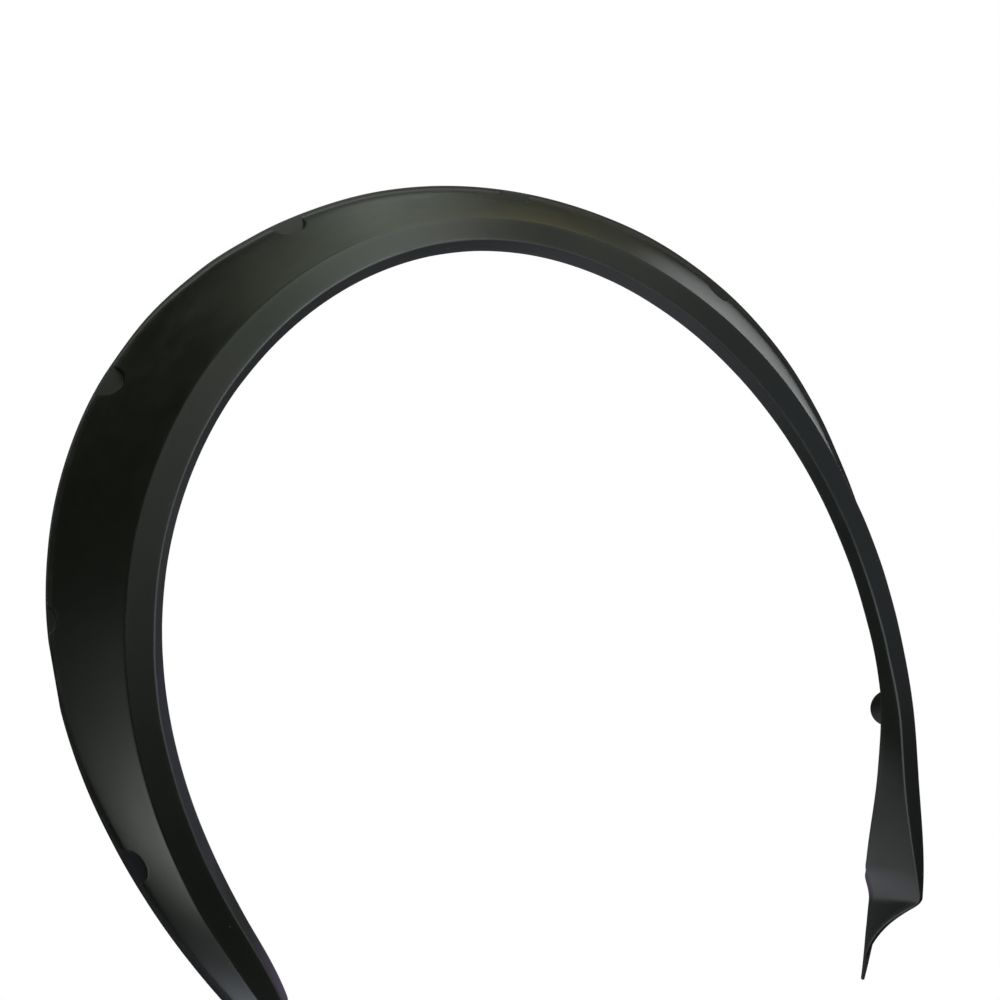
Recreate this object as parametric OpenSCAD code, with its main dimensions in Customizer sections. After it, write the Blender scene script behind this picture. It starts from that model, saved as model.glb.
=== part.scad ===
// Wheel arch flare: a long flexible strip of black plastic, moulded in one piece, that widens the
// edge of a wheel arch. It is shown bent to the arch. The back of its flange lies in the plane y = 0
// against the body, and the strip stands out to -Y. The origin is on the flange's back, at the
// middle of the strip, which is at the top. Angles run from the top, positive towards -X.
// A section point is [n, depth]: n is outward from the front rim's outline, depth is from the body.

/* [Arch] */
// Mean radius of the front rim's outline
arch_r = 250.7; // [235:0.1:270]
// Second harmonic of the outline: how much taller than wide
arch_tall = 34.9; // [20:0.1:42]
// Third harmonic of the outline: how much it narrows towards the top
arch_egg = -9.3; // [-12:0.1:0]
// Fourth harmonic of the outline: how square it is
arch_square = 2.3; // [0:0.1:4]
// Lean of the arch away from the middle of the strip
lean = 8; // [0:0.5:12]
// Length of the strip, along the flange's outer edge
strip_len = 1441; // [1380:1:1480]

/* [Section] */
// Flange's outer edge beyond the rim, at the crown
crown_out = 71; // [60:0.5:80]
// Flange's outer edge beyond the rim, at the ends of the legs
leg_out = 23.5; // [21:0.5:28]
// Angle from the crown up to which the full width holds
out_hold = 40; // [25:1:55]
// Angle from the crown where the width has run down
out_end = 128.5; // [120:0.5:140]
// Depth from the body to the rim, at the crown
crown_depth = 98.6; // [80:0.1:110]
// Depth from the body to the rim, on the legs
leg_depth = 61.5; // [50:0.5:72]
// Angle from the crown where the depth has run down
depth_end = 92; // [80:1:110]
// Width of the front face between the crease and the rim
front_w = 15.5; // [12:0.5:18]
// Set-back of the crease behind the rim
front_drop = 6.5; // [3:0.5:9]
// Radius across the hollow of the side face
side_bow_r = 500; // [350:10:1500]
// Thickness of the side face, the front face and the lip
wall = 3; // [2.2:0.1:3.4]

/* [Lip] */
// How far the lip runs in towards the wheel
lip_in = 4.3; // [3:0.1:6]
// How far the lip runs back from the rim
lip_back = 8.4; // [6:0.1:12]

/* [Flange] */
// Width of the flange's flat strip
flange_w = 5; // [4:0.5:6.5]
// Thickness of the flange
flange_t = 2.5; // [2:0.1:3.2]
// Bevel on the flange's outer edge
flange_bevel = 0.8; // [0.4:0.1:1.2]

/* [Edges] */
// Reach of the soft fillet between flange and side face
fillet = 4; // [2:0.5:6]
// Reach of the rounding at the crease
crease_round = 2.6; // [1:0.1:4]
// Reach of the rounding at the rim
rim_round = 1.3; // [0.6:0.1:2]

/* [Screw flats] */
// Radius of the half-round flats in the side face
flat_r = 10.2; // [9:0.2:12]
// Distance of their centres from the flange's outer edge
flat_set = 3; // [2:0.5:4]
// Distance between flats along the flange's edge
flat_pitch = 155; // [148:1:160]
// Number of flats on each side of the middle
flat_pairs = 4; // [2:1:4]

/* [Ends] */
// Length of the pointed tail beyond the front corner
tail_len = 51; // [44:1:58]
// How strongly the tail is scooped: 1 is straight
tail_scoop = 2.5; // [1.6:0.1:3]
// Rounding of the front corner
corner_round = 11; // [4:1:16]
// Width of the flange at the tip
tip_w = 1.2; // [0.8:0.1:2]
// Gain of the tail's width for each millimetre from the tip
tail_flare = 0.15; // [0.1:0.01:0.2]
// Distance from the tip where the front face starts to narrow
narrow_run = 150; // [130:1:170]
// Distance from the tip where the lip starts to deepen
deepen_run = 185; // [165:1:200]
// Distance from the tip where the lip has reached the body
deepen_end = 35; // [20:1:42]
// How far the crease moves out near the ends
crease_shift = 2.5; // [0:0.5:5]
// How far the lip runs in where it has deepened
end_lip_in = 7; // [5:0.1:8]
// Twist of the ends: how far their fronts swing, outward at +X and inward at -X
end_twist = 3; // [0:0.5:5]

/* [Hidden] */
half_len = strip_len/2;

// Numbers of rings and of points in the stretches of the shell
flat_steps = 10;
bay_steps = 5;
tail_steps = 15;
run_steps = 9;
side_points = 6;
lining_points = 5;
// Angle that the table of lengths reaches on each side
table_end = 150;
// Curve of the narrowing front face and of the deepening lip
narrow_power = 2.4;
deepen_power = 1.4;
// Stretches beyond the tail over which the lip leaves the flange and the hollow opens
lip_start = -3;
lip_free = 19;
hollow_close = 11;
hollow_open = 24;
// Stretch over which the crease and the lip take the shape they have near the ends
ends_from = 10;
ends_to = 20;
// Stretch beyond the tail in which the rings stay close together
dense_run = 12;
// Radius of the small fillet at the foot of a flat's wall
foot = 0.8;
// Largest share of a face's width that a rounding may take
most_rounding = 0.3;
// Where the inner edge of the solid stretch stands between lip and flange, and how much further
// from the lip for each millimetre that the lip is off the body
heel_share = 0.1;
heel_gain = 0.02;
// Share of the fillet's reach at which its curve ends
fillet_end = 0.8;
// Shares of the side face's width at which its last skin and first lining points lie
skin_end = 0.03;
lining_end = 0.95;

// The arch
function taper(t, a, b) = let (u = min(max((t - a)/(b - a), 0), 1)) 1 - (3*u*u - 2*u*u*u);
function mix(a, b, t) = a + (b - a)*t;
function outward(a) = [-sin(a), cos(a)];
function onward(a) = [-cos(a), -sin(a)];
function support(t) = arch_r + arch_tall*cos(2*t) + arch_egg*cos(3*t) + arch_square*cos(4*t);
function support_slope(t) =
    -2*arch_tall*sin(2*t) - 3*arch_egg*sin(3*t) - 4*arch_square*sin(4*t);
function place(a, n) = (support(a - lean) + n)*outward(a) + support_slope(a - lean)*onward(a);
function out_at(a) = mix(leg_out, crown_out, taper(abs(a - lean), out_hold, out_end));
function depth_at(a) = mix(leg_depth, crown_depth, taper(abs(a - lean), 0, depth_end));

// Length along the flange's edge, measured from the top, against the angle
edge_line = [for (a = [-table_end:table_end]) place(a, out_at(a))];
edge_lengths = [for (i = 0, s = 0; i < len(edge_line);
    s = s + norm(edge_line[min(i + 1, len(edge_line) - 1)] - edge_line[i]), i = i + 1) s];
angle_table = [for (i = [0:len(edge_line) - 1])
    [edge_lengths[i] - edge_lengths[table_end], i - table_end]];
function angle_at(s) = lookup(s, angle_table);
origin = place(0, out_at(0) - flange_w);

// Screw flats: their places, and how far a round of radius r reaches in from the flange's edge
flats = [for (k = [-flat_pairs:flat_pairs - 1]) (k + 0.5)*flat_pitch];
function reach(s, r) = max([for (p = flats)
    abs(s - p) < r ? flat_set + sqrt(r*r - (s - p)*(s - p)) : 0]);

// Corner helpers
function unit(v) = v/norm(v);
function turned(v) = [-v.y, v.x];
function curve(p, c, q, t) = (1 - t)*(1 - t)*p + 2*t*(1 - t)*c + t*t*q;
function rounded(p, from, to, r, steps) =
    [for (i = [0:steps]) curve(p - r*from, p, p + r*to, i/steps)];
function mitre(p, va, vb) = p + wall*(va + vb)/(1 + va*vb);
function soft_min(a, b, k) = let (u = min(max(0.5 + (b - a)/(2*k), 0), 1)) mix(b, a, u) - k*u*(1 - u);

// The section at length s: flange, side face, crease, front face, rim and lip, then the lining
function section(s) = let (
    a = angle_at(s),
    e = half_len - abs(s),
    out = out_at(a),
    full = depth_at(a),
    scoop = full*pow(max(e, 0)/tail_len, tail_scoop),
    front = max(soft_min(full, scoop, corner_round), flange_t),
    share = front/full,
    tail_w = tip_w + tail_flare*e,
    strip = min(flange_w, tail_w/2),
    near_end = taper(e, tail_len + ends_from, narrow_run - ends_to),
    narrowing = pow(min(max((narrow_run - e)/(narrow_run - tail_len), 0), 1), narrow_power),
    deepening = pow(min(max((deepen_run - e)/(deepen_run - deepen_end), 0), 1), deepen_power),
    in_tail = taper(e, tail_len + lip_start, tail_len + lip_free),
    crease_full = front_w + crease_shift*near_end,
    rim_full = (crease_full - wall)*narrowing,
    lip_full = mix(rim_full - mix(lip_in, end_lip_in, near_end), out - tail_w, in_tail),
    // Corners of the outer skin
    foot_n = out - strip,
    crease_n = mix(foot_n, crease_full, share),
    rim_n = mix(lip_full, rim_full, share),
    lip_depth = (front - lip_back)*(1 - deepening),
    side = [foot_n, flange_t],
    crease = [crease_n, front - front_drop*share*(crease_n - rim_n)/front_w],
    rim = [rim_n, front],
    lip = [lip_full, max(min(lip_depth, front - foot), 0)],
    side_way = unit(crease - side),
    front_way = unit(rim - crease),
    lip_way = unit(lip - rim),
    side_len = norm(crease - side),
    bow = side_len*side_len/(8*side_bow_r),
    // Flats: how far the flat and its wall's back reach in, and where they meet the side face
    flat_in = reach(s, flat_r),
    back_in = reach(s, flat_r + wall),
    is_flat = min(max((flat_in - strip)/2, 0), 1),
    in = max(flat_in, strip),
    lining_in = max(back_in, strip + wall),
    side_span = foot_n - crease_n,
    fillet_share = min(fillet/side_len, most_rounding),
    start = is_flat > 0 ? mix(fillet_share, (in - strip)/side_span, is_flat) : fillet_share,
    lining_start = back_in > strip + wall
        ? (lining_in - strip - wall*side_way.y)/side_span : 0,
    finish = 1 - min(crease_round/side_len, most_rounding) - skin_end,
    front_most = norm(rim - crease)*most_rounding,
    crease_reach = min(crease_round, front_most, side_len*most_rounding),
    rim_reach = min(rim_round, front_most, norm(lip - rim)*most_rounding),
    bevel = min(flange_bevel, strip*most_rounding),
    on_side = function (t) mix(side, crease, t) + turned(side_way)*bow*4*t*(1 - t),
    fillet_from = mix([foot_n + min(fillet, strip/2), flange_t],
        [out - in + foot, flange_t], is_flat),
    fillet_to = mix(on_side(fillet_share*fillet_end), [out - in, flange_t + foot], is_flat),
    skin = concat(
        [[out, 0], [out, flange_t - bevel], [out - bevel, flange_t]],
        [for (i = [0:3]) curve(fillet_from, [out - in, flange_t], fillet_to, i/3)],
        [for (i = [0:side_points - 1]) on_side(mix(start, finish, i/(side_points - 1)))],
        rounded(crease, side_way, front_way, crease_reach, 3),
        rounded(rim, front_way, lip_way, rim_reach, 2),
        [lip]),
    lining = concat(
        [lip + wall*turned(lip_way)],
        [mitre(rim, turned(front_way), turned(lip_way))],
        [mitre(crease, turned(side_way), turned(front_way))],
        [for (i = [1:lining_points]) let (t = mix(lining_end, lining_start, i/lining_points))
            on_side(t) + wall*turned(side_way)],
        [[out - lining_in, 0]]),
    // Where the walls meet near the ends the shell is solid down to the body
    heel = [mix(lip.x, foot_n, heel_share + heel_gain*lip.y), 0],
    solid_back = [for (i = [0:len(lining) - 1]) mix(heel, [out, 0], i/len(lining))],
    is_hollow = 1 - taper(e, tail_len + hollow_close, tail_len + hollow_open))
    concat(skin, [for (i = [0:len(lining) - 1]) mix(solid_back[i], lining[i], is_hollow)]);

// Lengths at which the shell has a ring: dense at the flats and at the ends
flat_turn = acos((flange_w - flat_set)/flat_r);
back_half = sqrt(pow(flat_r + wall, 2) - pow(flange_w + wall - flat_set, 2));
flat_clear = flat_r + wall + foot;
flat_rings = [for (p = flats) each concat(
    [for (k = [-flat_steps/2:flat_steps/2]) p + flat_r*sin(flat_turn*2*k/flat_steps)],
    [for (d = [back_half, flat_clear]) each [p - d, p + d]])];
bay_rings = [for (p = [for (k = [0:len(flats) - 2]) flats[k]], k = [1:bay_steps - 1])
    mix(p + flat_clear, p + flat_pitch - flat_clear, k/bay_steps)];
tail_run = tail_len + dense_run;
last_ring = half_len - flats[len(flats) - 1] - flat_clear;
end_rings = [for (k = [0:tail_steps - 1]) tail_run*k/tail_steps,
    for (k = [0:run_steps - 1]) mix(tail_run, last_ring, k/run_steps)];
function sorted(v) = len(v) < 2 ? v : let (
    p = v[floor(len(v)/2)])
    concat(sorted([for (x = v) if (x < p) x]), [p], sorted([for (x = v) if (x > p) x]));
rings = sorted(concat(flat_rings, bay_rings,
    [for (e = end_rings) half_len - e], [for (e = end_rings) e - half_len]));

// The shell, lofted through the rings
function twist_at(s) =
    -sign(s)*end_twist/leg_depth*taper(half_len - abs(s), tail_len + ends_from, narrow_run);
function ring(s) = let (a = angle_at(s), twist = twist_at(s))
    [for (q = section(s)) let (p = place(a, q.x + twist*q.y) - origin) [p.x, -q.y, p.y]];
function tip(s, side) = let (
    a = angle_at(s),
    p = place(a, out_at(a) - tip_w/2) + side*tip_w/2*onward(a) - origin)
    [p.x, -flange_t/2, p.y];
module flare() {
    loft = [for (s = rings) ring(s)];
    m = len(loft[0]);
    last = len(loft) - 1;
    walls = [for (i = [0:last - 1], j = [0:m - 1]) let (
        p = i*m + j,
        q = i*m + (j + 1) % m)
        each [[p, q, q + m], [p, q + m, p + m]]];
    tips = [for (j = [0:m - 1]) let (q = (j + 1) % m)
        each [[q, j, len(loft)*m], [last*m + j, last*m + q, len(loft)*m + 1]]];
    points = concat([for (r = loft) each r], [tip(rings[0], -1), tip(rings[last], 1)]);
    color([0.1, 0.11, 0.1]) polyhedron(points, concat(walls, tips), convexity = 10);
}

flare();
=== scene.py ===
"""Wheel arch flare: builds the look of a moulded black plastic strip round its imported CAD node.

The strip is one moulding, so it is one mesh here: the CAD section with rounded edges, lofted in
fine steps along the same bent flange line. Its finish is grained satin plastic outside and a
plainer moulded surface on the side that faces the car. Run as a script, it builds the strip, the
stage and the camera.

Frame: metres, +Z up, the back of the flange in the plane y = 0, and the strip stands out to -Y.
A section point is (n, depth): n outward from the front rim's outline, depth away from the car.
"""

import math

import bpy
import numpy as np
from bpy.props import FloatProperty, FloatVectorProperty, IntProperty, PointerProperty
from mathutils import Matrix, Vector


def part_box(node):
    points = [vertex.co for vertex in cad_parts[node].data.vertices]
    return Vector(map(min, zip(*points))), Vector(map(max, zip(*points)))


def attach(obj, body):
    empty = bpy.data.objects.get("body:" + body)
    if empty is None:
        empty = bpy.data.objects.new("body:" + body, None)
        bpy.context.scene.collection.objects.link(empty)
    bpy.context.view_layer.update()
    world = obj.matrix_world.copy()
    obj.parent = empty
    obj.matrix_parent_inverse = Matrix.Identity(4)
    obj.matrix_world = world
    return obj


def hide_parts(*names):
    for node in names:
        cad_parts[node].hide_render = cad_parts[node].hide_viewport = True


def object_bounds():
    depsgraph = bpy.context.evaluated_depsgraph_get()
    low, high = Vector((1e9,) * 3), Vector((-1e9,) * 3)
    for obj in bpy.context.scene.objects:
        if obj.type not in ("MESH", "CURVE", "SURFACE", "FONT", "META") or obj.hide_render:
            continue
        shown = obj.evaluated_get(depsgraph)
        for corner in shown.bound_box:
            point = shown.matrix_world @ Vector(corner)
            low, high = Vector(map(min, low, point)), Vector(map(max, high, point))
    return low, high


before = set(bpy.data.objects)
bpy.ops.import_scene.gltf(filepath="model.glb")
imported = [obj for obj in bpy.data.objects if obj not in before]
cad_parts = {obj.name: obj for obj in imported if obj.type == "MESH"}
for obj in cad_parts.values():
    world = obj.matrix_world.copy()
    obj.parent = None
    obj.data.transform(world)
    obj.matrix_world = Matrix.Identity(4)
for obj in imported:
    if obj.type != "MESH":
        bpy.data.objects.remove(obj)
CAD_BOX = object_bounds()

bl_info = {
    "name": "Wheel Arch Flare",
    "version": (1, 0, 0),
    "blender": (4, 5, 0),
    "location": "View3D > Sidebar > Flare",
    "description": "Builds a moulded plastic wheel arch flare with its finish, stage and camera",
    "category": "Object",
}

NODE = "flare"
STRIP_NAME = "flare_strip"
MM = 0.001


def length(name, description, millimetres):
    """A size property in metres, given in millimetres."""
    return FloatProperty(
        name=name, description=description, default=millimetres * MM, unit="LENGTH", precision=5
    )


def angle(name, description, degrees):
    """An angle property, given in degrees."""
    return FloatProperty(
        name=name, description=description, default=math.radians(degrees), subtype="ANGLE"
    )


def factor(name, description, default, low=0.0, high=1.0):
    """A plain number between two limits."""
    return FloatProperty(name=name, description=description, default=default, min=low, max=high)


def colour(name, description, default):
    """A linear colour."""
    return FloatVectorProperty(
        name=name, description=description, default=default, subtype="COLOR", min=0.0, max=1.0
    )


class FlareShape(bpy.types.PropertyGroup):
    """Sizes of the strip: those of its CAD source, with finer roundings and a narrower edge."""

    arch_r: length("Arch radius", "Mean radius of the front rim's outline", 250.7)
    arch_tall: length("Arch height term", "How much taller than wide the outline is", 34.9)
    arch_egg: length("Arch egg term", "How much the outline narrows towards the top", -9.3)
    arch_square: length("Arch square term", "How square the outline is", 2.3)
    lean: angle("Lean", "Lean of the arch away from the middle of the strip", 8)
    strip_len: length("Strip length", "Length along the flange's outer edge", 1441)
    crown_out: length("Crown width", "Flange's outer edge beyond the rim, at the crown", 71)
    leg_out: length("Leg width", "Flange's outer edge beyond the rim, on the legs", 23.5)
    out_hold: angle("Width holds to", "Angle from the crown up to which the width holds", 40)
    out_end: angle("Width ends at", "Angle from the crown where the width has run down", 128.5)
    crown_depth: length("Crown depth", "Depth from the car to the rim, at the crown", 98.6)
    leg_depth: length("Leg depth", "Depth from the car to the rim, on the legs", 61.5)
    depth_end: angle("Depth ends at", "Angle from the crown where the depth has run down", 92)
    front_w: length("Front face width", "Width between the crease and the rim", 15.5)
    front_drop: length("Front face drop", "Set-back of the crease behind the rim", 6.5)
    side_bow_r: length("Side face bow", "Radius across the hollow of the side face", 500)
    wall: length("Wall", "Thickness of the side face, the front face and the lip", 3)
    lip_in: length("Lip run-in", "How far the lip runs in towards the wheel", 4.3)
    lip_back: length("Lip run-back", "How far the lip runs back from the rim", 8.4)
    flange_w: length("Flange set-in", "Frame's origin inside the flange's outer edge", 5)
    flange_flat: length("Flange flat", "Width of the flange's flat strip", 3.4)
    flange_t: length("Flange thickness", "Thickness of the flange", 2.5)
    flange_bevel: length("Flange bevel", "Rounding of the flange's outer edge", 0.5)
    fillet: length("Fillet", "Reach of the soft fillet between flange and side face", 1.6)
    crease_round: length("Crease rounding", "Reach of the rounding at the crease", 0.9)
    rim_round: length("Rim rounding", "Reach of the rounding at the rim", 1.1)
    flat_r: length("Flat radius", "Radius of the half-round flats in the side face", 10.2)
    flat_set: length("Flat set-in", "Distance of their centres from the flange's edge", 3)
    flat_pitch: length("Flat pitch", "Distance between flats along the flange's edge", 155)
    flat_pairs: IntProperty(
        name="Flat pairs", description="Flats on each side of the middle", default=4, min=1, max=4
    )
    tail_len: length("Tail length", "Length of the pointed tail beyond the front corner", 51)
    tail_scoop: factor("Tail scoop", "How strongly the tail is scooped", 2.5, 1, 4)
    corner_round: length("Corner rounding", "Rounding of the front corner", 11)
    tip_w: length("Tip width", "Width of the flange at the tip", 1.2)
    tail_flare: factor("Tail flare", "Gain of the tail's width along its length", 0.15)
    narrow_run: length("Narrowing run", "Where the front face starts to narrow", 150)
    deepen_run: length("Deepening run", "Where the lip starts to deepen", 185)
    deepen_end: length("Deepening end", "Where the lip has reached the car", 35)
    crease_shift: length("Crease shift", "How far the crease moves out near the ends", 2.5)
    end_lip_in: length("End lip run-in", "How far the deepened lip runs in", 7)
    end_twist: length("End twist", "How far the ends' fronts swing sideways", 3)


class FlareFinish(bpy.types.PropertyGroup):
    """Colours and surface of the moulded plastic, and the light colour of its painted highlight
    lines.
    """

    skin: colour("Skin", "Colour of the outer skin", (0.0055, 0.0063, 0.0052))
    back: colour("Back", "Colour of the side that faces the car", (0.008, 0.0085, 0.008))
    rubbed: colour("Rubbed", "Colour of the plastic where edges are rubbed", (0.05, 0.051, 0.05))
    # A painted highlight: a light colour laid along the rim, the crease and the flange's strip,
    # with its strength, in place of the reflections that these lines catch
    painted_highlight: colour("Painted highlight", "Colour where lines are polished", (0.15, 0.155, 0.165))
    painted_shine: factor("Shine", "How far the rim's line and the other bright lines are polished", 0.42)
    dust: colour("Dust", "Colour of the fine dust in the corners", (0.12, 0.115, 0.105))
    skin_rough: factor("Skin roughness", "Roughness of the outer skin", 0.4)
    back_rough: factor("Back roughness", "Roughness of the side that faces the car", 0.55)
    grain: length("Grain", "Size of the moulded grain", 0.8)
    grain_depth: length("Grain depth", "Height of the moulded grain", 0.003)
    wear: factor("Edge wear", "How far the edges are rubbed", 0.25)
    dusting: factor("Dusting", "How much dust has settled", 0.12)


class FlareStage(bpy.types.PropertyGroup):
    """The plain studio round the strip."""

    floor_drop: length("Floor drop", "Height of the strip's lowest tip over the floor", 150)
    floor_size: length("Floor size", "Side of the square floor", 9000)
    floor: colour("Floor", "Colour of the floor", (0.86, 0.86, 0.86))
    daylight: factor("Daylight", "Strength of the even light from all sides", 0.12, 0.0, 5.0)
    tent: colour("Tent", "Colour of the dark tent that only gloss sees", (0.02, 0.026, 0.012))
    tent_size: length("Tent size", "Side of the tent", 7000)
    lens: length("Lens", "Focal length of the camera", 56.51)


# Shape: the strip's section and its line, as arrays over the rings


def taper(t, start, end):
    """1 before start, 0 after end and smooth between."""
    u = np.clip((t - start) / (end - start), 0, 1)
    return 1 - u * u * (3 - 2 * u)


def mix(a, b, t):
    """Between a and b, ring by ring."""
    a, b, t = np.asarray(a, float), np.asarray(b, float), np.asarray(t, float)
    if max(a.ndim, b.ndim) > t.ndim > 0:
        t = t[..., None]
    return a + (b - a) * t


def soft_min(a, b, reach):
    """The smaller of a and b, rounded where they meet."""
    u = np.clip(0.5 + (b - a) / (2 * reach), 0, 1)
    return b + (a - b) * u - reach * u * (1 - u)


def point(n, depth):
    """Section points from their two coordinates."""
    return np.stack(np.broadcast_arrays(np.asarray(n, float), np.asarray(depth, float)), axis=-1)


def unit(v):
    """v at length 1."""
    return v / np.maximum(np.linalg.norm(v, axis=-1, keepdims=True), 1e-9)


def turned(v):
    """v turned by a quarter, towards the inside of the section."""
    return np.stack([-v[..., 1], v[..., 0]], axis=-1)


def distance(a, b):
    """Distances between the points of two rows."""
    return np.linalg.norm(b - a, axis=-1)


def bend(p, corner, q, steps):
    """Rows of points on the curve from p to q with its control point at the corner."""
    return [
        (1 - t) ** 2 * p + 2 * t * (1 - t) * corner + t * t * q
        for t in (k / steps for k in range(steps + 1))
    ]


def rounded(corner, before, after, reach, steps):
    """Rows round a corner between two directions, starting and ending at reach from it."""
    r = np.asarray(reach)[..., None]
    return bend(corner - r * before, corner, corner + r * after, steps)


def between(p, q, count):
    """Count rows of points strictly between p and q."""
    return [p + (q - p) * (k / (count + 1)) for k in range(1, count + 1)]


class StripLine:
    """The bent line of the strip: places on it by angle and by length along the flange's edge."""

    TABLE_END = math.radians(150)
    TABLE_STEPS = 1200

    def __init__(self, shape):
        self.shape = shape
        angles = np.linspace(-self.TABLE_END, self.TABLE_END, 2 * self.TABLE_STEPS + 1)
        edge = self.place(angles, self.out_at(angles))
        lengths = np.concatenate([[0], np.cumsum(distance(edge[:-1], edge[1:]))])
        self.lengths, self.angles = lengths - lengths[self.TABLE_STEPS], angles
        top = np.zeros(1)
        self.origin = self.place(top, self.out_at(top) - shape.flange_w)[0]

    def place(self, a, n):
        """Points at angle a from the top, at n outside the rim's outline."""
        g, t = self.shape, a - self.shape.lean
        terms = ((2, g.arch_tall), (3, g.arch_egg), (4, g.arch_square))
        support = sum((size * np.cos(k * t) for k, size in terms), g.arch_r)
        slope = sum(-k * size * np.sin(k * t) for k, size in terms)
        outward = np.stack([-np.sin(a), np.cos(a)], axis=-1)
        onward = np.stack([-np.cos(a), -np.sin(a)], axis=-1)
        return (support + n)[..., None] * outward + slope[..., None] * onward

    def out_at(self, a):
        """How far the flange's outer edge lies beyond the rim's outline."""
        g = self.shape
        share = taper(np.abs(a - g.lean), g.out_hold, g.out_end)
        return g.leg_out + (g.crown_out - g.leg_out) * share

    def depth_at(self, a):
        """How far the rim stands off the car."""
        g = self.shape
        share = taper(np.abs(a - g.lean), 0, g.depth_end)
        return g.leg_depth + (g.crown_depth - g.leg_depth) * share

    def angle_at(self, s):
        """Angle from the top, at length s along the flange's edge."""
        return np.interp(s, self.lengths, self.angles)


# Curves of the narrowing front face and of the deepening lip, as in the CAD source, and how
# softly the deepening starts and ends
NARROW_POWER = 2.4
DEEPEN_POWER = 1.4
DEEPEN_SOFT = 0.12
# Stretches beyond the tail over which the lip leaves the flange and the hollow opens, and how
# far inside the narrowing run's two ends the sizes of the strip's ends take over
LIP_START, LIP_FREE = -3 * MM, 19 * MM
HOLLOW_CLOSE, HOLLOW_OPEN = 11 * MM, 24 * MM
ENDS_FROM, ENDS_TO = 10 * MM, 20 * MM
# Small fillet at the foot of a flat's wall, and small roundings that the CAD solid leaves out
FOOT = 0.8 * MM
WALL_TOP = 0.7 * MM
LIP_EDGE = 0.7 * MM
INNER_ROUND = 1.6 * MM
BACK_EDGE = 0.3 * MM
# Most of a face's width that a rounding takes, and most of a flat's wall
MOST_ROUNDING = 0.3
MOST_WALL_TOP = 0.45
# Inner corner of the closed ends: its place between lip and flange, and the gain with depth
HEEL_SHARE, HEEL_GAIN = 0.1, 0.02 / MM
# Share of the fillet that its main curve covers, and of the side face that its lining covers
FILLET_END = 0.8
LINING_END = 0.95
# Reach over which a flat comes out of the fillet, and the step that gives the side's direction
FLAT_FADE = 2 * MM
SIDE_STEP = 0.02
# Distances between rings at the ends and between the flats, and the least of all
END_PITCH, RING_PITCH, LEAST_PITCH = 1.1 * MM, 3 * MM, 0.12 * MM
END_MARGIN = 8 * MM
FLAT_RINGS = 25
# Rows of the side face, of the lining and of the rim's rounding, and the half width of the
# painted highlight line on the rim in such rows
SIDE_ROWS, LINING_ROWS, RIM_STEPS = 18, 12, 6
RIM_LINE_HALF = 2.6
# Faces that meet at more than this angle keep a sharp edge
SHARP_FROM = math.radians(50)

# How single flats differ from the even ones, from the +X end to the -X end: millimetres off
# the even place, share of the even length and share of the even reach
FLAT_CHANGES = (
    (-3.5, 0.88, 1.0), (-1.0, 1.0, 1.0), (-1.0, 1.0, 1.0), (-0.8, 1.0, 0.85),
    (0.8, 1.0, 1.0), (2.5, 1.0, 1.0), (-1.5, 0.75, 0.42), (-5.0, 1.1, 0.74),
)
# Where the strip's lines run beside their even places: length along the flange's edge, how far
# the edge lies further out, the crease further out, the rim further in and the lip further in,
# all in millimetres
LINE_SHIFTS = (
    (-720, 0.0, 0.0, 0.0, 0.0), (-620, 0.0, 0.0, -1.5, 0.3), (-555, 0.0, -0.15, -2.5, 0.75),
    (-508, 0.0, -0.1, -0.8, 0.05), (-480, 0.0, 0.3, -0.25, 0.35), (-447, 0.0, 0.9, 0.1, 0.25),
    (-420, -0.4, 1.0, 0.05, 0.35), (-400, -0.8, 0.8, 0.45, 0.35), (-375, -1.1, 0.9, 0.75, 0.45),
    (-340, -0.35, 1.5, 0.9, 0.65), (-300, 0.2, 2.1, 1.2, 0.85), (-260, 0.1, 1.9, 1.2, 1.0),
    (-200, -0.55, 1.5, 1.0, 0.9), (-140, -0.7, 1.4, 0.65, 0.55), (-80, -0.65, 0.7, 0.25, 0.45),
    (-30, -0.65, -0.2, 0.25, 0.6), (10, -0.7, 0.0, 0.6, 0.9), (60, -1.15, 0.0, 1.15, 1.1),
    (100, -0.8, 0.1, 1.3, 1.05), (140, 0.2, 0.3, 1.3, 0.95), (185, 0.85, 0.45, 1.35, 0.75),
    (225, 0.0, 0.6, 1.1, 0.4), (290, -0.75, 0.1, 1.0, 0.55), (340, -0.55, 0.0, 0.8, 0.6),
    (390, 0.1, -0.1, 0.8, 0.8), (430, 0.65, -0.1, 0.2, 1.0), (460, 0.65, -0.1, -0.2, 1.1),
    (486, 0.6, -0.15, -0.1, 1.15), (521, 0.3, 0.0, -0.3, 1.15), (560, 0.2, -0.15, -0.6, 1.2),
    (640, 0.0, 0.0, -0.8, 0.5), (720, 0.0, 0.0, 0.0, 0.0),
)
# How bright the painted highlight lines are: length along the flange's edge in millimetres,
# share of the full painted highlight on the rim, on the crease and on the flange's flat strip
PAINTED_LINE_SHINE = (
    (-720, 0.4, 0.0, 0.0), (-600, 1.3, 0.0, 0.0), (-480, 1.2, 0.0, 0.0), (-420, 0.4, 0.0, 0.0),
    (-300, 0.3, 0.0, 0.0), (-150, 0.6, 0.04, 0.0), (-50, 0.7, 0.06, 0.0), (0, 1.4, 0.12, 0.1),
    (30, 1.8, 0.16, 0.3), (60, 2.2, 0.18, 0.35), (120, 2.2, 0.18, 0.3), (150, 2.2, 0.18, 0.15),
    (220, 1.7, 0.06, 0.0), (300, 1.2, 0.0, 0.0), (430, 1.1, 0.0, 0.0), (500, 0.6, 0.0, 0.0),
    (560, 0.35, 0.0, 0.0), (720, 0.3, 0.0, 0.0),
)
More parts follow.
